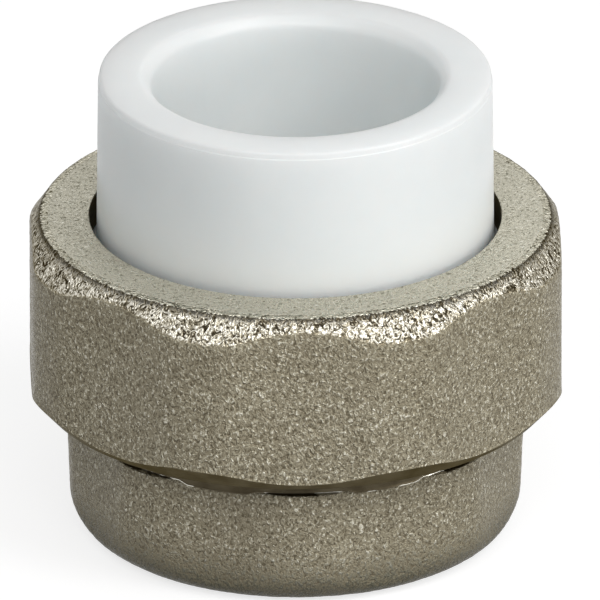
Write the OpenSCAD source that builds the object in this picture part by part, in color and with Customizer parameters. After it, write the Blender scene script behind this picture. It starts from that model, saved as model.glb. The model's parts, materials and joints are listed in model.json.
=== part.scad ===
// Plastic-to-metal pipe union. A plastic socket end, for a fused pipe, passes through a
// brass union nut. The nut draws the socket's collar down onto a flat gasket that lies on
// a brass tail piece, which has a female pipe thread.
// The origin is the centre of the tail's foot, and +Z runs up the pipe axis to the socket.

/* [Plastic socket] */
// Bore that takes the pipe
bore_d = 24.5; // [24:0.1:26]
// Wall of the barrel around the bore
socket_wall = 4.75; // [4:0.05:6]
// Taper that lets the barrel leave its mould, as radius lost between nut and mouth
barrel_draft = 0.16; // [0:0.02:0.3]
// Length of barrel that stands above the nut
socket_stand = 13; // [9:0.05:20]
// Depth of the bore, down to the pipe stop
socket_depth = 16.5; // [14:0.1:18]
// Waterway past the pipe stop
waterway_d = 18; // [14:0.1:21]
// Rounding of the barrel's outer rim
rim_round = 0.6; // [0.2:0.05:1.2]
// Lead-in bevel at the bore's mouth
mouth_bevel = 0.8; // [0.3:0.05:1.5]
// How far the collar stands out past the barrel
collar_lip = 2.2; // [1.6:0.05:3]
// Thickness of the collar
collar_h = 3; // [2.4:0.1:5]

/* [Union nut] */
// Height of the nut
nut_h = 15.85; // [15:0.05:16.8]
// Thickness of the roof that holds the collar down
nut_roof = 2.95; // [2:0.05:4]
// Wall between a flat of the nut and the root of its thread
nut_wall = 1.6; // [1.3:0.05:3]
// How much of each of the eight corners is turned off
nut_corner_cut = 1; // [0.4:0.05:1.4]
// Width of the upper bevel, measured at the middle of a flat
nut_top_bevel = 0.8; // [0.4:0.05:1.2]
// Steepness of the upper bevel
nut_top_angle = 55; // [45:1:65]
// Width of the lower bevel, measured at the middle of a flat
nut_foot_bevel = 0.55; // [0.3:0.05:0.9]
// Steepness of the lower bevel
nut_foot_angle = 48; // [35:1:60]

/* [Tail piece] */
// Height of the eight-sided body
body_h = 10.8; // [9:0.05:14]
// Wall between a flat of the body and the root of the pipe thread
body_wall = 5.58; // [5.2:0.02:6.5]
// How much of each of the eight corners is turned off
body_corner_cut = 0.65; // [0.3:0.05:1]
// Taper of the corners, as radius lost between the neck and the foot's rounding
body_draft = 0.3; // [0:0.05:0.6]
// Rounding of the lower edge
foot_round = 3.3; // [1.5:0.1:5]
// Height of the smooth neck between the body and the union thread
neck_h = 1.3; // [1.2:0.05:2]
// How far the neck lies below the root of the union thread
neck_relief = 0.42; // [0.2:0.02:0.6]
// How far the turned neck reaches down over the flats
neck_lip = 0.3; // [0.15:0.05:0.6]
// Height of the part that carries the union thread
union_thread_h = 8.35; // [7.5:0.05:9]

/* [Gasket] */
// Thickness of the gasket
gasket_h = 2; // [1.5:0.1:3]
// Width of the gasket's ring
gasket_w = 5.2; // [3:0.1:6]

/* [Threads] */
// Pitch of the union thread
union_pitch = 2.309; // [2:0.001:2.4]
// Outer diameter of the pipe thread, three-quarter inch
pipe_thread_d = 26.441; // [25.8:0.001:27.2]
// Pitch of the pipe thread
pipe_pitch = 1.814; // [1.6:0.001:1.9]
// Length of the pipe thread, up to the middle of its relief groove
pipe_thread_h = 12.4; // [10:0.1:14]

/* [Clearances] */
// Radial play between barrel and nut
barrel_play = 0.6; // [0.4:0.05:0.8]
// Radial play between the collar and the nut's thread
collar_play = 0.427; // [0.3:0.001:0.7]
// Axial play between the collar and the nut's roof
roof_play = 0.05; // [0.02:0.01:0.3]
// Radial play of the union thread
thread_play = 0.15; // [0.12:0.01:0.2]
// Play on each flank of the union thread, along the axis
flank_play = 0.12; // [0.1:0.01:0.14]
// Radial play between the gasket and the nut's thread
gasket_play = 0.6; // [0.4:0.05:1]

/* [Hidden] */
$fn = 96;

// The nut and the tail's body have this many flats, and this angle from a flat to a corner
flats = 8;
half_side = 180 / flats;

// Parallel pipe thread, 55 degrees between flanks, crests and roots cut to a flat
flank = 27.5;
depth_per_pitch = 0.640327;
flat_per_pitch = 1 / 6;
steps_per_turn = 36;
// Steps over which a thread runs out at either end, and how far into them it begins
runout_steps = 4;
runout_start = 0.2;
// How far a thread's cutter or ridge is sunk past the wall that it grows from
sink = 0.2;
// Overshoot that keeps two cuts from ending on one face
over = 1;
// Relief grooves: how far they go below the root of their thread, and how wide their floor is
relief_sink = 0.1;
relief_floor = 0.5;
// Bevel on the turned edges of the tail
edge = 0.5;
// Plain root left between the tail's bevels and the ends of its union thread
ridge_clear = 0.05;

// Radii of the socket, from the bore outwards
bore_r = bore_d / 2;
barrel_r = bore_r + socket_wall;
collar_r = barrel_r + collar_lip;

// Union thread: its root on the tail clears the collar, so the collar passes the nut's thread
union_depth = depth_per_pitch * union_pitch;
nut_minor_r = collar_r + collar_play;
union_root_r = nut_minor_r - thread_play;
union_major_r = union_root_r + union_depth;
nut_groove_r = union_major_r + thread_play;
nut_relief_r = nut_groove_r + relief_sink;

// Pipe thread
pipe_major_r = pipe_thread_d / 2;
pipe_minor_r = pipe_major_r - depth_per_pitch * pipe_pitch;
pipe_relief_r = pipe_major_r + relief_sink;

// Tail piece
body_r = pipe_major_r + body_wall;
body_corner_r = body_r / cos(half_side) - body_corner_cut;
neck_r = union_root_r - neck_relief;
root_z = body_h + neck_h - edge;
tail_top = body_h + neck_h + union_thread_h;
// Heights of the middle of the union thread's ridge at its two ends, clear of the bevels
ridge_in = neck_relief + ridge_width(union_pitch, union_depth) / 2 + ridge_clear;
first_turn_z = root_z + ridge_in;
last_turn_z = tail_top - ridge_in;

// Stack above the tail
gasket_r = nut_minor_r - gasket_play;
collar_z = tail_top + gasket_h;
roof_z = collar_z + collar_h + roof_play;
nut_top = roof_z + nut_roof;
nut_foot = nut_top - nut_h;
socket_top = nut_top + socket_stand;

// Nut
nut_r = nut_groove_r + nut_wall;
nut_corner_r = nut_r / cos(half_side) - nut_corner_cut;
nut_hole_r = barrel_r + barrel_play;
relief_z = collar_z - gasket_h / 2;

// Height of a bevel of a given steepness over a radial distance
function rise(run, angle) = run * tan(angle);

// Width of a 55 degree thread ridge, some way in from its crest
function ridge_width(pitch, inward) = flat_per_pitch * pitch + 2 * inward * tan(flank);

// Corners of the ridge's cross-section at one angle round the axis
function ridge_ring(angle, z, r0, r1, w0, w1) = [
    [r0 * cos(angle), r0 * sin(angle), z - w0 / 2],
    [r1 * cos(angle), r1 * sin(angle), z - w1 / 2],
    [r1 * cos(angle), r1 * sin(angle), z + w1 / 2],
    [r0 * cos(angle), r0 * sin(angle), z + w0 / 2],
];

// Right-hand helical ridge from radius r0 out to r1, with widths w0 and w1 there.
// Its middle starts at angle 0 and height z, and both its ends run out into the wall.
module helix(pitch, z, turns, r0, r1, w0, w1) {
    steps = round(turns * steps_per_turn);
    points = [
        for (i = [0:steps])
            let (part = min(1, (min(i, steps - i) + runout_start) / runout_steps))
            each ridge_ring(
                i * 360 / steps_per_turn, z + i * pitch / steps_per_turn,
                r0, r0 + (r1 - r0) * part, w0, w0 + (w1 - w0) * part)
    ];
    sides = [
        for (i = [0:steps - 1])
            for (j = [0:3])
                let (a = 4 * i + j, b = 4 * i + (j + 1) % 4)
                each [[a, b, b + 4], [a, b + 4, a + 4]]
    ];
    last = 4 * steps;
    ends = [[0, 3, 2], [0, 2, 1], [last, last + 1, last + 2], [last, last + 2, last + 3]];
    polyhedron(points, concat(sides, ends), convexity = 10);
}

// Eight-sided prism with the given flat-to-axis distance, turned by an angle
module octagon(r, z0, z1, turn) {
    translate([0, 0, z0])
        rotate([0, 0, turn])
            cylinder(r = r / cos(half_side), h = z1 - z0, $fn = flats);
}

// Brass tail: a body with eight corners, a neck, the union thread and a tapped waterway
module threaded_tail() {
    color("tan")
    difference() {
        union() {
            intersection() {
                octagon(body_r, 0, body_h, 0);
                rotate_extrude() foot_profile();
            }
            rotate_extrude() union_thread_profile();
            helix(
                union_pitch, first_turn_z, (last_turn_z - first_turn_z) / union_pitch,
                union_root_r - sink, union_major_r,
                ridge_width(union_pitch, union_depth + sink),
                ridge_width(union_pitch, 0));
        }
        rotate_extrude() tail_bore_profile();
        helix(
            pipe_pitch, -pipe_pitch, (pipe_thread_h + pipe_pitch) / pipe_pitch,
            pipe_minor_r - sink, pipe_major_r,
            ridge_width(pipe_pitch, pipe_major_r - pipe_minor_r + sink),
            ridge_width(pipe_pitch, 0));
    }
}

// Half section of the body: corners turned to one radius, foot rounded
module foot_profile() {
    foot_r = body_corner_r - body_draft;
    union() {
        polygon([
            [0, foot_round], [foot_r, foot_round], [body_corner_r, body_h], [0, body_h],
        ]);
        square([foot_r - foot_round, foot_round + over]);
        translate([foot_r - foot_round, foot_round])
            circle(r = foot_round);
    }
}

// Half section of the neck and of the root of the union thread
module union_thread_profile() {
    polygon([
        [0, body_h - neck_lip], [neck_r, body_h - neck_lip], [neck_r, root_z],
        [union_root_r, root_z + neck_relief], [union_root_r, tail_top - neck_relief],
        [neck_r, tail_top], [0, tail_top],
    ]);
}

// Half section of the waterway: mouth bevel, tapping bore, thread relief, upper bevel
module tail_bore_profile() {
    side = pipe_relief_r - pipe_minor_r;
    floor_half = relief_floor / 2;
    polygon([
        [0, -over], [pipe_relief_r + over, -over],
        [pipe_minor_r, side], [pipe_minor_r, pipe_thread_h - floor_half - side],
        [pipe_relief_r, pipe_thread_h - floor_half],
        [pipe_relief_r, pipe_thread_h + floor_half],
        [pipe_minor_r, pipe_thread_h + floor_half + side], [pipe_minor_r, tail_top - edge],
        [pipe_minor_r + edge + over, tail_top + over], [0, tail_top + over],
    ]);
}

// Flat rubber ring on top of the tail
module gasket() {
    color("dimgray")
    translate([0, 0, tail_top])
        difference() {
            cylinder(r = gasket_r, h = gasket_h);
            translate([0, 0, -over])
                cylinder(r = gasket_r - gasket_w, h = gasket_h + 2 * over);
        }
}

// White plastic end: collar, tapered barrel, bore with a pipe stop
module plastic_socket() {
    color("white")
    difference() {
        union() {
            translate([0, 0, collar_z])
                cylinder(r = collar_r, h = collar_h);
            rotate_extrude() barrel_profile();
        }
        rotate_extrude() socket_bore_profile();
    }
}

// Half section of the barrel, with a rounded outer rim
module barrel_profile() {
    mouth_r = barrel_r - barrel_draft;
    union() {
        polygon([
            [0, collar_z], [barrel_r, collar_z], [barrel_r, nut_top],
            [mouth_r, socket_top - rim_round], [0, socket_top - rim_round],
        ]);
        translate([0, collar_z])
            square([mouth_r - rim_round, socket_top - collar_z]);
        translate([mouth_r - rim_round, socket_top - rim_round])
            circle(r = rim_round);
    }
}

// Half section of the hole down the socket
module socket_bore_profile() {
    stop_z = socket_top - socket_depth;
    polygon([
        [0, collar_z - over], [waterway_d / 2, collar_z - over],
        [waterway_d / 2, stop_z], [bore_r, stop_z],
        [bore_r, socket_top - mouth_bevel],
        [bore_r + mouth_bevel + over, socket_top + over], [0, socket_top + over],
    ]);
}

// Brass nut: eight flats, two bevels, a roof with a hole for the barrel, and its thread
module union_nut() {
    color("silver")
    difference() {
        intersection() {
            octagon(nut_r, nut_foot, nut_top, half_side);
            rotate_extrude() nut_profile();
        }
        rotate_extrude() nut_bore_profile();
        helix(
            union_pitch, first_turn_z - 2 * union_pitch,
            (relief_z - first_turn_z + 3 * union_pitch) / union_pitch,
            nut_minor_r - sink, nut_groove_r,
            ridge_width(union_pitch, union_depth + sink - thread_play) + 2 * flank_play,
            ridge_width(union_pitch, -thread_play) + 2 * flank_play);
    }
}

// Half section of the nut's outside: corners turned to one radius, bevels above and below
module nut_profile() {
    past_flat = nut_corner_r - nut_r;
    polygon([
        [0, nut_foot],
        [nut_r - nut_foot_bevel, nut_foot],
        [nut_corner_r, nut_foot + rise(nut_foot_bevel + past_flat, nut_foot_angle)],
        [nut_corner_r, nut_top - rise(nut_top_bevel + past_flat, nut_top_angle)],
        [nut_r - nut_top_bevel, nut_top],
        [0, nut_top],
    ]);
}

// Half section of the nut's inside: mouth bevel, threaded bore, relief, hole in the roof
module nut_bore_profile() {
    side = nut_relief_r - nut_minor_r;
    polygon([
        [0, nut_foot - over], [nut_relief_r + over, nut_foot - over],
        [nut_minor_r, nut_foot + side], [nut_minor_r, relief_z],
        [nut_relief_r, relief_z + side], [nut_relief_r, roof_z],
        [nut_hole_r, roof_z], [nut_hole_r, nut_top + over], [0, nut_top + over],
    ]);
}

threaded_tail();
gasket();
plastic_socket();
union_nut();
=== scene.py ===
import json
import math

import bmesh
import bpy
import numpy as np
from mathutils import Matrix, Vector, noise


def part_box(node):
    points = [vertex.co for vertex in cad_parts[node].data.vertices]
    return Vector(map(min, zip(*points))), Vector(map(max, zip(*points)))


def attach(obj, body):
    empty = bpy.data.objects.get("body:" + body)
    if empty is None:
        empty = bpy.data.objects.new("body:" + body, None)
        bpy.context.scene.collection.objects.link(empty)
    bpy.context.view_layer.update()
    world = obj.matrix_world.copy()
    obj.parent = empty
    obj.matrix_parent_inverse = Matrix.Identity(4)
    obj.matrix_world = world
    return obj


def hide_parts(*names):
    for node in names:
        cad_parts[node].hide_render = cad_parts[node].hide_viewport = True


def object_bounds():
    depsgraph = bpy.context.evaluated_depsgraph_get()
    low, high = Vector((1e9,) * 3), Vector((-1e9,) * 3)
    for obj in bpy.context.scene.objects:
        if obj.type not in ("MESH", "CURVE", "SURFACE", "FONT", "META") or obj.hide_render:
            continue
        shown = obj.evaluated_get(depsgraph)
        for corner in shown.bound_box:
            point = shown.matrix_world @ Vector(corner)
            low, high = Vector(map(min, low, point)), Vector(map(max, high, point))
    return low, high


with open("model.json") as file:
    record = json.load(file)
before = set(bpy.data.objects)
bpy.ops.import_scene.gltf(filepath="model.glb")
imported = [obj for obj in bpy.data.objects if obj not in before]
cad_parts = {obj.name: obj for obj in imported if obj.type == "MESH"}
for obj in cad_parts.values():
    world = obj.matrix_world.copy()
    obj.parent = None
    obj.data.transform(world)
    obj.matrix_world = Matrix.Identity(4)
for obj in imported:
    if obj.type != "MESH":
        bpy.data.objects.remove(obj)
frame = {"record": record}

cad_low, cad_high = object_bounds()
MM = 0.001
FULL = 2 * math.pi
EIGHTH = math.pi / 8


# ---------------------------------------------------------------- sizes, in mm
def box_mm(node):
    low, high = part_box(node)
    return [v / MM for v in low], [v / MM for v in high]


tail_high = box_mm("threaded_tail")[1]
gasket_low, gasket_high = box_mm("gasket")
socket_low, socket_high = box_mm("plastic_socket")
nut_low, nut_high = box_mm("union_nut")


def mount_radius(name):
    return next(m for m in frame["record"]["mounts"] if m["name"] == name)["dims"]["r_mm"]


BORE_R = mount_radius("pipe_socket")
PIPE_MINOR = mount_radius("pipe_thread")

# threads: parallel pipe form, flanks 27.5 degrees from square to the axis
DEPTH_PER_PITCH = 0.640327
FLANK_SLOPE = math.tan(math.radians(27.5))
UNION_MAJOR = tail_high[0]
UNION_PITCH = 2.309
UNION_DEPTH = DEPTH_PER_PITCH * UNION_PITCH
UNION_ROOT = UNION_MAJOR - UNION_DEPTH
UNION_PHASE = 13.3            # height of a ridge's middle at angle 0
THREAD_PLAY = 0.15            # between crest and root, as radius
FLANK_PLAY = 0.12             # between the flanks, along the axis
NUT_GROOVE = UNION_MAJOR + THREAD_PLAY
NUT_MINOR = UNION_ROOT + THREAD_PLAY
NUT_THREAD_TOP = 23.6
TAIL_THREAD_FOOT = 12.02
TAIL_THREAD_END = 0.42        # bare root left under the tail's top
PIPE_PITCH = 1.814
PIPE_MAJOR = PIPE_MINOR + DEPTH_PER_PITCH * PIPE_PITCH
PIPE_PHASE = 1.1
PIPE_LEAD = 0.12              # lead-in at the foot, as radius and as height
PIPE_THREAD_TOP = 11.9
RELIEF_FOOT = 12.0
RELIEF_TOP = 12.66
RELIEF_END = 13.92            # where the relief groove has run out to the minor radius

NUT_FLAT = nut_high[0] - 0.02
NUT_CORNER = NUT_FLAT / math.cos(EIGHTH) - 1.0
NUT_FOOT, NUT_TOP = nut_low[2], nut_high[2]
NUT_ROOF = NUT_TOP - 2.95     # underside of the roof
NUT_HOLE = 17.6
NUT_TOP_R = NUT_FLAT - 0.8
NUT_FOOT_R = NUT_FLAT - 0.55
TOP_BEVEL_SLOPE = math.tan(math.radians(55))
FOOT_BEVEL_SLOPE = math.tan(math.radians(48))
TAIL_TOP = tail_high[2]
BODY_FLAT = 18.8
BODY_CORNER = BODY_FLAT / math.cos(EIGHTH) - 0.65
BODY_TOP = 10.8
BODY_DRAFT = 0.3
NECK_R = UNION_ROOT - 0.42
NECK_LIP = 0.3                # how far the neck's edge drops where it cuts a flat
NECK_TOP = 11.6
FOOT_ROUND = 3.3
BARREL_R = 17.0
MOUTH_R = 16.84
COLLAR_R = socket_high[0]
COLLAR_Z = socket_low[2]
COLLAR_TOP = COLLAR_Z + 3
SOCKET_TOP = socket_high[2]
STOP_Z = SOCKET_TOP - 16.5
WATERWAY_R = 9.0
GASKET_WIDTH = 5.2


# ---------------------------------------------------------------- shell meshes
class Shell:
    """A closed skin round the Z axis: rings of points that run once round its half section."""

    def __init__(self, columns):
        self.m = columns
        self.angle = np.arange(columns) / columns * FULL
        self.points = []          # one (m, 3) array a ring, or a loose block of points
        self.count = 0
        self.rings = []           # first index of each ring
        self.faces = []
        self.face_slots = []
        self.grain = []           # how strongly a point is cast rather than turned
        self.open_ring = None

    def add_points(self, xyz, grain):
        start = self.count
        self.points.append(xyz)
        self.grain.append(np.broadcast_to(np.asarray(grain, float), (len(xyz),)))
        self.count += len(xyz)
        return start

    def ring(self, r, z, slot=0, grain=0.0):
        """Adds a ring at radius r and height z, and joins it to the last.
        Each is a number or one value a column."""
        r = np.broadcast_to(np.asarray(r, float), (self.m,))
        z = np.broadcast_to(np.asarray(z, float), (self.m,))
        xyz = np.stack([r * np.cos(self.angle), r * np.sin(self.angle), z], 1)
        start = self.add_points(xyz, grain)
        if self.open_ring is not None:
            self.join(self.open_ring, start, slot)
        self.rings.append(start)
        self.open_ring = start
        return start

    def join(self, a, b, slot):
        j = np.arange(self.m)
        k = (j + 1) % self.m
        self.faces.append(np.stack([a + j, a + k, b + k, b + j], 1))
        self.face_slots.append(np.full(self.m, slot))

    def path(self, corners):
        """Rings along straight runs with rounded corners.
        corners: (r, z, rounding, rings in the run that follows, slot, grain)."""
        pts = [
            np.stack([np.broadcast_to(np.asarray(c[0], float), (self.m,)),
                      np.broadcast_to(np.asarray(c[1], float), (self.m,))], 1)
            for c in corners
        ]
        n = len(pts)
        enter, leave = [], []
        for i in range(n):
            size = corners[i][2]
            if i == 0 or i == n - 1 or size == 0:
                enter.append(pts[i])
                leave.append(pts[i])
                continue
            back = pts[i - 1] - pts[i]
            on = pts[i + 1] - pts[i]
            lb = np.linalg.norm(back, axis=1, keepdims=True)
            lo = np.linalg.norm(on, axis=1, keepdims=True)
            t = np.minimum(size, 0.46 * np.minimum(lb, lo))
            enter.append(pts[i] + back / np.maximum(lb, 1e-9) * t)
            leave.append(pts[i] + on / np.maximum(lo, 1e-9) * t)
        for i in range(n):
            slot = corners[i - 1][4] if i else corners[0][4]
            grain = corners[i - 1][5] if i else corners[0][5]
            next_grain = corners[i][5]
            rounds = 4 if corners[i][2] and 0 < i < n - 1 else 0
            if rounds:
                for s in range(rounds + 1):
                    q = s / rounds
                    p = (1 - q) ** 2 * enter[i] + 2 * q * (1 - q) * pts[i] + q * q * leave[i]
                    ends = {0: grain, rounds: next_grain}
                    self.ring(p[:, 0], p[:, 1], slot if q <= 0.5 else corners[i][4],
                              ends.get(s, min(grain, next_grain)))
            elif i == 0 and self.open_ring is not None:
                self.ring(pts[0][:, 0], pts[0][:, 1], slot, grain)
            else:
                self.ring(enter[i][:, 0], enter[i][:, 1], slot, min(grain, next_grain))
            if i < n - 1:
                steps = corners[i][3]
                for s in range(1, steps):
                    q = s / steps
                    p = leave[i] + (enter[i + 1] - leave[i]) * q
                    self.ring(p[:, 0], p[:, 1], corners[i][4], next_grain)

    def thread(self, base, height, pitch, root_w, crest_w, z_low, z_high, phase, slot, soft=0.07):
        """A threaded wall from z_low to z_high, joined to the last ring, which lies at z_low.
        The ridge stands height out from radius base, or in where height is negative.
        phase is the height of a ridge's middle at angle 0, give or take whole pitches."""
        m = self.m
        first = phase + pitch * math.ceil((z_low + pitch / 2 + 0.04 - phase) / pitch)
        total = int((z_high - 0.04 - pitch / 2 - first) / pitch * m)
        if total < m:
            raise ValueError("the threaded wall is shorter than one turn")
        slope = (root_w - crest_w) / 2
        cut = soft * 1.6
        across = [
            (-pitch / 2, 0), (-root_w / 2 - soft, 0), (-root_w / 2 + cut * 0.5, 0.5 * cut / slope),
            (-crest_w / 2 - cut * 0.5, 1 - 0.5 * cut / slope), (-crest_w / 2 + soft * 0.6, 1),
            (crest_w / 2 - soft * 0.6, 1), (crest_w / 2 + cut * 0.5, 1 - 0.5 * cut / slope),
            (root_w / 2 - cut * 0.5, 0.5 * cut / slope), (root_w / 2 + soft, 0),
        ]
        k = len(across)
        i = np.arange(total + 1)
        u = i / m * FULL
        mid = first + pitch * i / m
        fade = np.clip(np.minimum(i, total - i) / (m / 9), 0, 1)
        fade = fade * fade * (3 - 2 * fade)
        block = np.zeros((total + 1, k, 3))
        for a, (dz, h) in enumerate(across):
            r = base + height * h * fade
            block[:, a, 0] = r * np.cos(u)
            block[:, a, 1] = r * np.sin(u)
            block[:, a, 2] = mid + dz
        v0 = self.add_points(block.reshape(-1, 3), 0.0)
        w = np.arange(total - m + 1, total + 1)
        top = np.stack([base * np.cos(w / m * FULL), base * np.sin(w / m * FULL),
                        first + pitch * w / m + pitch / 2], 1)
        w0 = self.add_points(top, 0.0)

        def vert(col, a):
            return v0 + col * k + a

        def upper(col):
            return np.where(col <= total - m, vert(np.minimum(col + m, total), 0),
                            w0 + col - (total - m + 1))

        col = np.arange(total)
        for a in range(k - 1):
            self.faces.append(np.stack([vert(col, a), vert(col + 1, a),
                                        vert(col + 1, a + 1), vert(col, a + 1)], 1))
            self.face_slots.append(np.full(total, slot))
        self.faces.append(np.stack([vert(col, k - 1), vert(col + 1, k - 1),
                                    upper(col + 1), upper(col)], 1))
        self.face_slots.append(np.full(total, slot))

        low = self.open_ring
        j = np.arange(m - 1)
        self.faces.append(np.stack([low + j, low + j + 1, vert(j + 1, 0), vert(j, 0)], 1))
        self.face_slots.append(np.full(m - 1, slot))
        start_edge = [vert(0, a) for a in range(k)]
        self.faces.append([low + m - 1, low, *start_edge, vert(m, 0), vert(m - 1, 0)])
        self.face_slots.append([slot])

        self.open_ring = None
        high = self.ring(base, z_high, slot)
        c = np.arange(total - m + 1, total)
        self.faces.append(np.stack([upper(c), upper(c + 1), high + (c + 1) % m, high + c % m], 1))
        self.face_slots.append(np.full(m - 1, slot))
        s = total - m
        end_edge = [vert(total, a) for a in range(k - 1, 0, -1)]
        self.faces.append([vert(total, 0), int(upper(np.array(s + 1))), high + (s + 1) % m,
                           high + s % m, int(upper(np.array(total))), *end_edge])
        self.face_slots.append([slot])

    def close(self, slot):
        self.join(self.open_ring, self.rings[0], slot)

    def finish(self, name, materials, rough=None):
        """Makes the object. rough(points in mm, grain) gives each point's offset along its normal."""
        xyz = np.concatenate(self.points)
        grain = np.concatenate(self.grain)
        faces, slots = [], []
        for block, slot in zip(self.faces, self.face_slots):
            if isinstance(block, list):
                faces.append([int(v) for v in block])
            else:
                faces.extend(block.tolist())
            slots.extend(int(s) for s in slot)
        mesh = bpy.data.meshes.new(name)
        mesh.from_pydata((xyz * MM).tolist(), [], faces)
        mesh.polygons.foreach_set("material_index", slots)
        mesh.polygons.foreach_set("use_smooth", [True] * len(faces))
        skin = bmesh.new()
        skin.from_mesh(mesh)
        bmesh.ops.recalc_face_normals(skin, faces=skin.faces)
        skin.to_mesh(mesh)
        skin.free()
        mesh.update()
        normals = np.zeros(len(xyz) * 3, np.float32)
        mesh.vertex_normals.foreach_get("vector", normals)
        normals = normals.reshape(-1, 3)
        if rough is not None:
            xyz = xyz + normals * rough(xyz, grain)[:, None]
            mesh.vertices.foreach_set("co", (xyz * MM).astype(np.float32).ravel())
        mesh.update()
        mesh.validate()
        for mat in materials:
            mesh.materials.append(mat)
        obj = bpy.data.objects.new(name, mesh)
        bpy.context.scene.collection.objects.link(obj)
        return obj


def octagon(angle, flat, corner, turn, power=150.0):
    """Radius of an octagon whose corners are turned down to radius corner, with soft edges.
    turn is the angle of one flat's middle."""
    part = np.abs((angle - turn + EIGHTH) % (2 * EIGHTH) - EIGHTH)
    side = flat / np.cos(part)
    return (side ** -power + corner ** -power) ** (-1 / power)


def noise_at(xyz, size, seed):
    """Smooth noise, about -1 to 1, with lumps of the given size in mm."""
    shift = seed * 17.31
    f = 1 / size
    return np.array([noise.noise((p[0] * f + shift, p[1] * f - shift, p[2] * f + 0.5 * shift))
                     for p in xyz.tolist()])


def cast_skin(xyz, grain):
    """Offset of a blasted casting, in mm: a fine orange peel over slow waves, none where it is turned.
    It only goes inward, so that the skin stays inside the solid."""
    out = np.zeros(len(xyz))
    hit = grain > 0
    p = xyz[hit]
    peel = noise_at(p, 0.38, 1) * 0.026 + noise_at(p, 0.8, 2) * 0.018
    waves = noise_at(p, 6.0, 3) * 0.03
    out[hit] = np.minimum((peel + waves - 0.045) * grain[hit], -0.004)
    return out


# ---------------------------------------------------------------- materials
EDGE_TINT = (0.42, 0.40, 0.35, 1)      # plate seen along its surface, where it is dull


def new_material(name, colour, roughness, metallic):
    mat = bpy.data.materials.new(name)
    mat.use_nodes = True
    tree = mat.node_tree
    shader = next(n for n in tree.nodes if n.type == "BSDF_PRINCIPLED")
    shader.inputs["Base Color"].default_value = (*colour, 1)
    shader.inputs["Roughness"].default_value = roughness
    shader.inputs["Metallic"].default_value = metallic
    return mat, tree, shader


def add(tree, kind, **values):
    """A node with the given values, each for an input socket or else a setting of that name."""
    node = tree.nodes.new(kind)
    for key, value in values.items():
        if key in node.inputs:
            node.inputs[key].default_value = value
        else:
            setattr(node, key, value)
    return node


def ramp(tree, source, stops):
    """Colour by source, through stops of (level, colour)."""
    node = tree.nodes.new("ShaderNodeValToRGB")
    node.color_ramp.elements[0].position = stops[0][0]
    node.color_ramp.elements[0].color = (*stops[0][1], 1)
    node.color_ramp.elements[1].position = stops[-1][0]
    node.color_ramp.elements[1].color = (*stops[-1][1], 1)
    for at, colour in stops[1:-1]:
        node.color_ramp.elements.new(at).color = (*colour, 1)
    tree.links.new(source, node.inputs["Fac"])
    return node.outputs["Color"]


def span(tree, source, low, high, to_low, to_high):
    """Source carried in a straight line from low..high to to_low..to_high, and held at both ends."""
    node = tree.nodes.new("ShaderNodeMapRange")
    for key, value in (("From Min", low), ("From Max", high), ("To Min", to_low), ("To Max", to_high)):
        node.inputs[key].default_value = value
    tree.links.new(source, node.inputs["Value"])
    return node.outputs["Result"]


def noise_span(tree, source, to_low, to_high):
    """As span, from the range that noise seldom leaves."""
    return span(tree, source, 0.3, 0.7, to_low, to_high)


def coordinates(tree):
    return tree.nodes.new("ShaderNodeTexCoord").outputs["Object"]


def upward(tree):
    """How far the surface faces up: 1 for a top, 0 for an upright wall."""
    axes = tree.nodes.new("ShaderNodeSeparateXYZ")
    tree.links.new(tree.nodes.new("ShaderNodeTexCoord").outputs["Normal"], axes.inputs[0])
    return axes.outputs["Z"]


def noise_node(tree, where, size, detail, rough, curl=0.0):
    """Noise with lumps of the given size in mm, drawn out into worms by curl."""
    node = add(tree, "ShaderNodeTexNoise", Scale=1 / (size * MM), Detail=detail, Roughness=rough,
               Distortion=curl)
    tree.links.new(where, node.inputs["Vector"])
    return node.outputs["Fac"]


def bump(tree, height, distance):
    node = add(tree, "ShaderNodeBump", Strength=1.0, Distance=distance * MM)
    tree.links.new(height, node.inputs["Height"])
    return node.outputs["Normal"]


def maths(tree, operation, a, b):
    """Two nodes' outputs joined by ADD, MAXIMUM or the like."""
    node = add(tree, "ShaderNodeMath", operation=operation)
    tree.links.new(a, node.inputs[0])
    tree.links.new(b, node.inputs[1])
    return node.outputs[0]


def blend(tree, share, a, b):
    """Colour a where share is 0 and b where it is 1, each a colour or a node's output."""
    node = tree.nodes.new("ShaderNodeMix")
    node.data_type = "RGBA"
    tree.links.new(share, node.inputs[0])
    for socket_in, value in ((node.inputs[6], a), (node.inputs[7], b)):
        if isinstance(value, tuple):
            socket_in.default_value = (*value, 1)
        else:
            tree.links.new(value, socket_in)
    return node.outputs[2]


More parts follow.
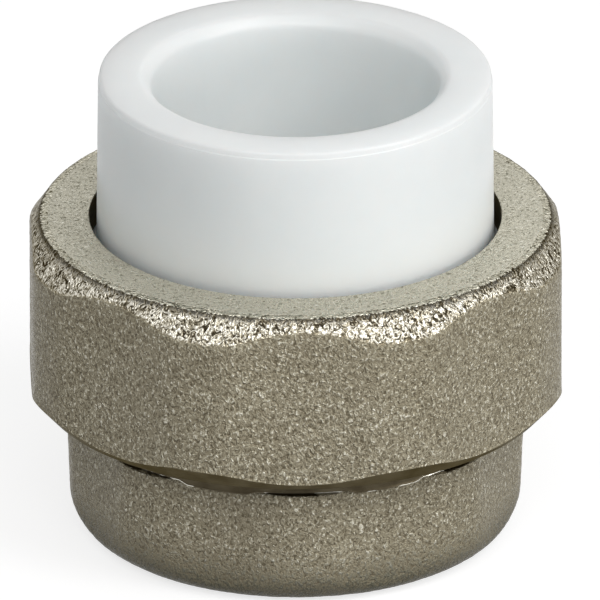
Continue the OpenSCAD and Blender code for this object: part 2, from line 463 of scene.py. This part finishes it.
def cast_nickel(name, tones, size, curl, depth, roughness, metallic, dark_band=None, fades=()):
    """Nickel plate over a blasted brass casting: curly grain, dark in its pits, with painted glints in
    the bright tones on its heights.
    tones: (level of the grain, colour) from pit to height. size: of the grain, in mm.
    curl: how far the grain is drawn out. depth: of the bump, in mm.
    metallic: below 1 the plate is clouded, and scatters light as a matt surface does.
    dirt: (colour, height where it is full, height where it ends, ragged share), heights in mm.
    fades: (tones, upward slant where they begin, upward slant where they are full, ragged share)."""
    mat, tree, shader = new_material(name, tones[len(tones) // 2][1], roughness, metallic)
    shader.inputs["Specular IOR Level"].default_value = 0.1
    shader.inputs["Specular Tint"].default_value = EDGE_TINT
    where = coordinates(tree)
    lean = add(tree, "ShaderNodeMapping", Rotation=(0, math.radians(32), math.radians(18)),
               Scale=(1.0, 1.0, 0.78))
    tree.links.new(where, lean.inputs["Vector"])
    grain = noise_node(tree, lean.outputs["Vector"], size, 1.0, 0.5, curl)
    fine = noise_node(tree, where, size * 0.4, 1.0, 0.5)
    patch = noise_node(tree, where, 6.0, 2.0, 0.5)
    height = maths(tree, "ADD", grain, noise_span(tree, fine, -0.05, 0.05))
    level = maths(tree, "ADD", height, noise_span(tree, patch, -0.012, 0.012))
    colour = ramp(tree, level, tones)
    # Darker colour in a band by height, with a ragged edge: on the bevel a painted dark reflection just
    # under the top face, on the tail a darkening towards the foot.
    if dark_band:
        darkening, full, ends, ragged = dark_band
        full *= MM
        ends *= MM
        axes = tree.nodes.new("ShaderNodeSeparateXYZ")
        tree.links.new(where, axes.inputs[0])
        stray = noise_span(tree, grain, (ends - full) * ragged, (full - ends) * ragged)
        line = maths(tree, "ADD", axes.outputs["Z"], stray)
        colour = blend(tree, span(tree, line, ends, full, 0, 0.9), colour, darkening)
    for edge_tones, begins, full, ragged in fades:
        slant = maths(tree, "ADD", upward(tree), noise_span(tree, grain, -ragged, ragged))
        share = span(tree, slant, begins, full, 0, 1)
        colour = blend(tree, share, colour, ramp(tree, level, edge_tones))
    tree.links.new(colour, shader.inputs["Base Color"])
    burnish = span(tree, height, 0.46, 0.62, roughness, roughness * 0.5)
    tree.links.new(burnish, shader.inputs["Roughness"])
    tree.links.new(bump(tree, height, depth), shader.inputs["Normal"])
    return mat


def turned_nickel(name, colour, dark, roughness, patches=(0.3, 0.62)):
    """Nickel plate over turned brass: fine rings left by the tool, a little grime in them.
    patches: noise levels where the grime is full and where it ends."""
    mat, tree, shader = new_material(name, colour, roughness, 1.0)
    shader.inputs["Specular Tint"].default_value = EDGE_TINT
    where = coordinates(tree)
    flat = add(tree, "ShaderNodeMapping", Scale=(0.02, 0.02, 1.0))
    tree.links.new(where, flat.inputs["Vector"])
    lines = noise_node(tree, flat.outputs["Vector"], 0.12, 3.0, 0.6)
    smear = noise_node(tree, where, 2.5, 3.0, 0.6)
    tones = ramp(tree, smear, [(patches[0], dark), (patches[1], colour)])
    tree.links.new(tones, shader.inputs["Base Color"])
    tree.links.new(noise_span(tree, lines, roughness - 0.06, roughness + 0.10),
                   shader.inputs["Roughness"])
    tree.links.new(bump(tree, lines, 0.012), shader.inputs["Normal"])
    return mat


def white_plastic(name):
    mat, tree, shader = new_material(name, (0.78, 0.79, 0.785), 0.34, 0.0)
    where = coordinates(tree)
    cloud = noise_node(tree, where, 6.0, 3.0, 0.5)
    fine = noise_node(tree, where, 0.35, 2.0, 0.6)
    tree.links.new(ramp(tree, cloud, [(0.3, (0.79, 0.82, 0.82)), (0.7, (0.82, 0.845, 0.84))]),
                   shader.inputs["Base Color"])
    tree.links.new(noise_span(tree, fine, 0.30, 0.42), shader.inputs["Roughness"])
    tree.links.new(bump(tree, fine, 0.004), shader.inputs["Normal"])
    shader.inputs["Subsurface Weight"].default_value = 0.8
    shader.inputs["Subsurface Radius"].default_value = (5.0 * MM, 5.5 * MM, 5.7 * MM)
    shader.inputs["Subsurface Scale"].default_value = 1.0
    return mat


def rubber(name):
    mat, tree, shader = new_material(name, (0.03, 0.03, 0.03), 0.72, 0.0)
    where = coordinates(tree)
    fine = noise_node(tree, where, 0.25, 3.0, 0.6)
    tree.links.new(ramp(tree, fine, [(0.3, (0.018, 0.018, 0.018)), (0.7, (0.05, 0.05, 0.048))]),
                   shader.inputs["Base Color"])
    tree.links.new(noise_span(tree, fine, 0.6, 0.85), shader.inputs["Roughness"])
    tree.links.new(bump(tree, fine, 0.02), shader.inputs["Normal"])
    return mat


# The brightest tones, on the grain's heights, are painted glints.
CAST_TONES = [(0.30, (0.15, 0.126, 0.083)), (0.42, (0.26, 0.228, 0.158)), (0.56, (0.34, 0.304, 0.217)),
              (0.66, (0.50, 0.465, 0.355)), (0.75, (0.80, 0.765, 0.65))]
# The top face's tones are painted lighter than the flats' for the light that falls on it from above,
# and the brightest tone is painted glints.
LIT_FACE_TONES = [(0.30, (0.20, 0.19, 0.14)), (0.42, (0.52, 0.50, 0.41)), (0.60, (0.64, 0.615, 0.51)),
              (0.74, (0.80, 0.78, 0.68))]
# The bevel's tones: the bright ones are painted glints, and the near-black ones are painted shade in
# its wrinkles, over the grain.
BEVEL_GLINT_TONES = [(0.34, (0.035, 0.028, 0.016)), (0.41, (0.14, 0.12, 0.08)), (0.49, (0.35, 0.32, 0.25)),
               (0.64, (0.76, 0.73, 0.64))]
# Painted dark reflection: a ragged near-black line round the top of the bevel, just under the top face,
# where the rounded edge would reflect a dark overhead.
CREASE_PAINTED_REFLECTION = ((0.02, 0.016, 0.009), NUT_TOP - 0.10, NUT_TOP - 0.48, 0.9)
# The tail's cast colour grows darker towards the foot: full at 0.2 mm up, gone at 4.2 mm.
FOOT_DARKENING = ((0.06, 0.06, 0.04), 0.2, 4.2, 0.5)
# Where the bevel turns upright it takes the flats' tones, and where it turns to face up it takes the
# top face's lit tones, so its painted glints stay on the slant.
BEVEL_FADES = ((CAST_TONES, 0.46, 0.26, 0.05), (LIT_FACE_TONES, 0.86, 0.94, 0.10))
BLASTED = dict(tones=CAST_TONES, size=0.23, curl=0.7, depth=0.28, roughness=0.34, metallic=0.22)
CAST = cast_nickel("nickel_cast", **BLASTED)
TAIL_CAST = cast_nickel("nickel_cast_tail", dark_band=FOOT_DARKENING, **BLASTED)
FACE = cast_nickel("nickel_cast_face", LIT_FACE_TONES, 0.24, 1.0, 0.14, 0.50, 0.6)
BEVEL = cast_nickel("nickel_cast_bevel", BEVEL_GLINT_TONES, 0.46, 1.8, 0.26, 0.26, 1.0,
                    CREASE_PAINTED_REFLECTION, BEVEL_FADES)
TURNED = turned_nickel("nickel_turned", (0.135, 0.115, 0.075), (0.085, 0.070, 0.042), 0.42)
# The neck's turned nickel, painted darker than the rest: painted shade under the overhanging nut.
NECK = turned_nickel("nickel_turned_neck_painted_shade", (0.085, 0.071, 0.045), (0.05, 0.04, 0.024), 0.45)
# The neck's lip, painted bright with dark breaks: a painted highlight where the lip catches light below
# the nut.
LIP_HIGHLIGHT = turned_nickel("nickel_lip_painted_highlight", (0.66, 0.64, 0.57), (0.09, 0.076, 0.05), 0.30, (0.50, 0.56))
PLASTIC = white_plastic("plastic_white")
RUBBER = rubber("rubber_black")
CAST_SLOT, FACE_SLOT, TURNED_SLOT, BEVEL_SLOT, NECK_SLOT, LIP_HIGHLIGHT_SLOT = range(6)
NUT_METALS = [CAST, FACE, TURNED, BEVEL, NECK, LIP_HIGHLIGHT]
TAIL_METALS = [TAIL_CAST, FACE, TURNED, BEVEL, NECK, LIP_HIGHLIGHT]


# ---------------------------------------------------------------- nut
def make_nut():
    s = Shell(540)
    side = octagon(s.angle, NUT_FLAT, NUT_CORNER, 0.0)
    bevel_z = NUT_TOP - (side - NUT_TOP_R) * TOP_BEVEL_SLOPE
    cone_z = NUT_FOOT + (side - NUT_FOOT_R) * FOOT_BEVEL_SLOPE
    lead = NUT_FOOT + 0.15
    s.path([
        (NUT_HOLE, NUT_ROOF, 0, 8, TURNED_SLOT, 0),
        (NUT_HOLE, NUT_TOP, 0.22, 14, FACE_SLOT, 0.5),
        (NUT_TOP_R - 0.7, NUT_TOP, 0, 6, BEVEL_SLOT, 0.8),
        (NUT_TOP_R, NUT_TOP, 0.35, 10, BEVEL_SLOT, 1.4),
        (side, bevel_z, 0.6, 58, CAST_SLOT, 1),
        (side, cone_z, 0.04, 6, TURNED_SLOT, 0),
        (NUT_FOOT_R, NUT_FOOT, 0.05, 3, TURNED_SLOT, 0),
        (NUT_GROOVE + 0.1, NUT_FOOT, 0.05, 1, TURNED_SLOT, 0),
        (NUT_GROOVE, lead, 0, 1, TURNED_SLOT, 0),
    ])
    tail_ridge = UNION_PITCH / 6 + 2 * UNION_DEPTH * FLANK_SLOPE
    crest_w = UNION_PITCH - tail_ridge - 2 * FLANK_PLAY + 0.1
    root_w = crest_w + 2 * (NUT_GROOVE - NUT_MINOR) * FLANK_SLOPE
    s.thread(NUT_GROOVE, NUT_MINOR - NUT_GROOVE, UNION_PITCH, root_w, crest_w,
             lead, NUT_THREAD_TOP, UNION_PHASE + UNION_PITCH / 2, TURNED_SLOT)
    s.path([
        (NUT_GROOVE, NUT_ROOF - 0.3, 0, 1, TURNED_SLOT, 0),
        (NUT_GROOVE - 0.3, NUT_ROOF, 0.1, 4, TURNED_SLOT, 0),
        (NUT_HOLE + 0.02, NUT_ROOF, 0, 1, TURNED_SLOT, 0),
    ])
    s.close(TURNED_SLOT)
    return s.finish("union_nut_shell", NUT_METALS, cast_skin)


# ---------------------------------------------------------------- tail
def body_ring(s, z, turned_r, grain):
    """One ring of the tail's body: eight flats met by a turned profile of radius turned_r."""
    s.ring(octagon(s.angle, BODY_FLAT, turned_r, EIGHTH), z, CAST_SLOT, grain)


def make_tail():
    s = Shell(480)
    side = octagon(s.angle, BODY_FLAT, BODY_CORNER, EIGHTH)
    lip = np.clip((NECK_R - side) / 0.16 + 0.5, 0, 1)
    lip = lip * lip * (3 - 2 * lip)
    neck_z = BODY_TOP - NECK_LIP * lip
    brow_z = neck_z - 0.03
    foot_r = BODY_CORNER - BODY_DRAFT
    s.path([
        (PIPE_MAJOR + PIPE_LEAD, 0.0, 0, 6, TURNED_SLOT, 0),
        (foot_r - FOOT_ROUND, 0.0, 0, 1, TURNED_SLOT, 0.3),
    ])
    steps = 26
    for i in range(1, steps):
        a = i / steps * math.pi / 2
        body_ring(s, FOOT_ROUND * (1 - math.cos(a)), foot_r - FOOT_ROUND * (1 - math.sin(a)),
                  min(1, 0.3 + i / 6))
    rows = 32
    for i in range(rows + 1):
        q = i / rows
        body_ring(s, FOOT_ROUND + (brow_z - 0.12 - FOOT_ROUND) * q, foot_r + BODY_DRAFT * q, 1)
    s.ring(side - 0.05, brow_z - 0.03, CAST_SLOT, 0.4)
    s.ring(side - 0.15 * (1 - lip), brow_z, CAST_SLOT, 0)
    # The neck's lip, coloured with the painted highlight.
    s.ring(NECK_R + 0.03, neck_z, LIP_HIGHLIGHT_SLOT, 0)
    s.ring(NECK_R + 0.03, neck_z + 0.07, LIP_HIGHLIGHT_SLOT, 0)
    s.path([
        (NECK_R, neck_z + 0.1, 0, 4, NECK_SLOT, 0),
        (NECK_R, NECK_TOP, 0.1, 3, TURNED_SLOT, 0),
        (UNION_ROOT, TAIL_THREAD_FOOT, 0, 1, TURNED_SLOT, 0),
    ])
    crest_w = UNION_PITCH / 6
    root_w = crest_w + 2 * UNION_DEPTH * FLANK_SLOPE
    s.thread(UNION_ROOT, UNION_DEPTH, UNION_PITCH, root_w, crest_w, TAIL_THREAD_FOOT,
             TAIL_TOP - TAIL_THREAD_END, UNION_PHASE, TURNED_SLOT)
    s.path([
        (UNION_ROOT, TAIL_TOP - TAIL_THREAD_END, 0, 2, TURNED_SLOT, 0),
        (NECK_R, TAIL_TOP, 0.1, 6, TURNED_SLOT, 0),
        (PIPE_MINOR + 0.5, TAIL_TOP, 0.08, 2, TURNED_SLOT, 0),
        (PIPE_MINOR, TAIL_TOP - 0.5, 0.1, 8, TURNED_SLOT, 0),
        (PIPE_MINOR, RELIEF_END, 0.1, 2, TURNED_SLOT, 0),
        (PIPE_MAJOR + 0.1, RELIEF_TOP, 0, 1, TURNED_SLOT, 0),
        (PIPE_MAJOR + 0.1, RELIEF_FOOT, 0, 1, TURNED_SLOT, 0),
    ])
    add_pipe_thread(s)
    return s.finish("threaded_tail_shell", TAIL_METALS, cast_skin)


def add_pipe_thread(s):
    """Builds the pipe thread upward from the skin's first ring, and closes the skin at its last one."""
    relief = s.open_ring
    s.open_ring = s.rings[0]
    crest_w = PIPE_PITCH / 6
    root_w = crest_w + 2 * (PIPE_MAJOR - PIPE_MINOR) * FLANK_SLOPE
    s.ring(PIPE_MAJOR, PIPE_LEAD, TURNED_SLOT)
    s.thread(PIPE_MAJOR, PIPE_MINOR - PIPE_MAJOR, PIPE_PITCH, root_w, crest_w, PIPE_LEAD,
             PIPE_THREAD_TOP, PIPE_PHASE, TURNED_SLOT)
    s.join(s.open_ring, relief, TURNED_SLOT)


# ---------------------------------------------------------------- socket and gasket
def moulded_skin(xyz, grain):
    """Offset of moulded plastic: slow, shallow waves."""
    return noise_at(xyz, 4.0, 5) * 0.012 - 0.012


def make_socket():
    s = Shell(320)
    s.path([
        (WATERWAY_R, COLLAR_Z, 0, 3, 0, 0),
        (COLLAR_R, COLLAR_Z, 0.25, 4, 0, 0),
        (COLLAR_R, COLLAR_TOP, 0.25, 3, 0, 0),
        (BARREL_R, COLLAR_TOP, 0.15, 6, 0, 0),
        (BARREL_R, NUT_TOP, 0, 24, 0, 0),
        (MOUTH_R + 0.02, SOCKET_TOP - 0.62, 0.06, 1, 0, 0),
        (MOUTH_R - 0.05, SOCKET_TOP - 0.56, 0.05, 1, 0, 0),
        (MOUTH_R - 0.07, SOCKET_TOP, 0.5, 12, 0, 0),
        (BORE_R + 0.8, SOCKET_TOP, 0.35, 3, 0, 0),
        (BORE_R + 0.05, SOCKET_TOP - 0.85, 0.4, 24, 0, 0),
        (BORE_R - 0.08, STOP_Z, 0.2, 6, 0, 0),
        (WATERWAY_R, STOP_Z, 0.2, 8, 0, 0),
        (WATERWAY_R, COLLAR_Z + 0.1, 0, 1, 0, 0),
    ])
    s.close(0)
    return s.finish("plastic_socket_shell", [PLASTIC], moulded_skin)


def make_gasket():
    s = Shell(240)
    outer = gasket_high[0]
    inner = outer - GASKET_WIDTH
    s.path([
        (inner, gasket_low[2] + 0.5, 0, 2, 0, 0),
        (inner, gasket_high[2], 0.3, 8, 0, 0),
        (outer, gasket_high[2], 0.3, 4, 0, 0),
        (outer, gasket_low[2], 0.3, 8, 0, 0),
        (inner, gasket_low[2], 0.3, 1, 0, 0),
        (inner, gasket_low[2] + 0.4, 0, 1, 0, 0),
    ])
    s.close(0)
    return s.finish("gasket_ring", [RUBBER])


tail = make_tail()
nut = make_nut()
socket = make_socket()
gasket = make_gasket()

for piece, node, body, slot in (
    (tail, "threaded_tail", "tail", "tail_brass"),
    (gasket, "gasket", "tail", "gasket_rubber"),
    (socket, "plastic_socket", "socket", "white_plastic"),
    (nut, "union_nut", "nut", "nut_brass"),
):
    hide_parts(node)
    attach(piece, body)


# ---------------------------------------------------------------- stage
FLOOR_SIZE = 8.0              # metres
FLOOR_GREY = 0.42
FLOOR_GLOW = 0.74             # seen only by rays that show a surface as it is
WORLD_FILL = 0.30             # light from the world on the object
WORLD_SEEN = 1.0


def seen_directly(tree):
    """1 for rays that show a surface as it is: camera, glossy and transmission."""
    path = tree.nodes.new("ShaderNodeLightPath")
    shown = maths(tree, "MAXIMUM", path.outputs["Is Camera Ray"], path.outputs["Is Glossy Ray"])
    return maths(tree, "MAXIMUM", shown, path.outputs["Is Transmission Ray"])


def floor_material():
    mat, tree, shader = new_material("floor", (FLOOR_GREY, FLOOR_GREY, FLOOR_GREY), 0.9, 0.0)
    shader.inputs["Specular IOR Level"].default_value = 0.0
    glow = add(tree, "ShaderNodeEmission", Color=(1, 1, 1, 1))
    tree.links.new(span(tree, seen_directly(tree), 0, 1, 0, FLOOR_GLOW), glow.inputs["Strength"])
    total = tree.nodes.new("ShaderNodeAddShader")
    tree.links.new(shader.outputs["BSDF"], total.inputs[0])
    tree.links.new(glow.outputs["Emission"], total.inputs[1])
    out = next(n for n in tree.nodes if n.type == "OUTPUT_MATERIAL")
    tree.links.new(total.outputs["Shader"], out.inputs["Surface"])
    return mat


def make_floor():
    h = FLOOR_SIZE / 2
    mesh = bpy.data.meshes.new("floor")
    mesh.from_pydata([(-h, -h, 0), (h, -h, 0), (h, h, 0), (-h, h, 0)], [], [(0, 1, 2, 3)])
    mesh.materials.append(floor_material())
    obj = bpy.data.objects.new("floor", mesh)
    bpy.context.scene.collection.objects.link(obj)
    return obj


def make_world():
    world = bpy.data.worlds.new("studio")
    world.use_nodes = True
    tree = world.node_tree
    back = next(n for n in tree.nodes if n.type == "BACKGROUND")
    back.inputs["Color"].default_value = (1, 1, 1, 1)
    strength = span(tree, seen_directly(tree), 0, 1, WORLD_FILL, WORLD_SEEN)
    tree.links.new(strength, back.inputs["Strength"])
    bpy.context.scene.world = world


floor = make_floor()
make_world()


# ---------------------------------------------------------------- lamps
CENTRE = Vector((0, 0, (cad_low[2] + cad_high[2]) / 2))


def direction(azimuth, elevation):
    """Unit vector, angles in radians. Azimuth 0 is the front and a quarter turn the right."""
    return Vector((math.sin(azimuth) * math.cos(elevation),
                   -math.cos(azimuth) * math.cos(elevation), math.sin(elevation)))


def place(obj, target, way, distance):
    """Puts obj at a distance from target and turns its -Z to it."""
    bpy.context.scene.collection.objects.link(obj)
    obj.location = target + way * distance
    obj.rotation_euler = way.to_track_quat("Z", "Y").to_euler()


def lamp(name, azimuth, elevation, distance, width, height, power):
    """A soft light facing the object, angles in degrees, sizes in metres and power in watts."""
    data = bpy.data.lights.new(name, "AREA")
    data.shape = "RECTANGLE"
    data.size = width
    data.size_y = height
    data.energy = power
    way = direction(math.radians(azimuth), math.radians(elevation))
    place(bpy.data.objects.new(name, data), CENTRE, way, distance)


lamp("key", 50, 42, 0.5, 0.3, 0.3, 1.08)
lamp("low", 60, 8, 0.6, 0.16, 0.16, 0.78)
lamp("front", -14, 42, 0.5, 0.4, 0.2, 0.84)
lamp("back", 165, 35, 0.7, 0.30, 0.30, 0.25)


# ---------------------------------------------------------------- camera
TILT = math.radians(24.18)
TURN = math.radians(1.8)      # to the left of the front
DISTANCE = 2.4
VIEW_WIDTH = 0.05138          # seen across the picture at the target
TARGET = Vector((0.0004, 0, 0.02032))

cam_data = bpy.data.cameras.new("camera")
cam_data.sensor_width = 36
cam_data.lens = cam_data.sensor_width * DISTANCE / VIEW_WIDTH
cam_data.clip_start = 0.05
cam_data.clip_end = 100
camera = bpy.data.objects.new("camera", cam_data)
place(camera, TARGET, direction(-TURN, TILT), DISTANCE)
bpy.context.scene.camera = camera
bpy.context.scene.view_settings.view_transform = "Standard"
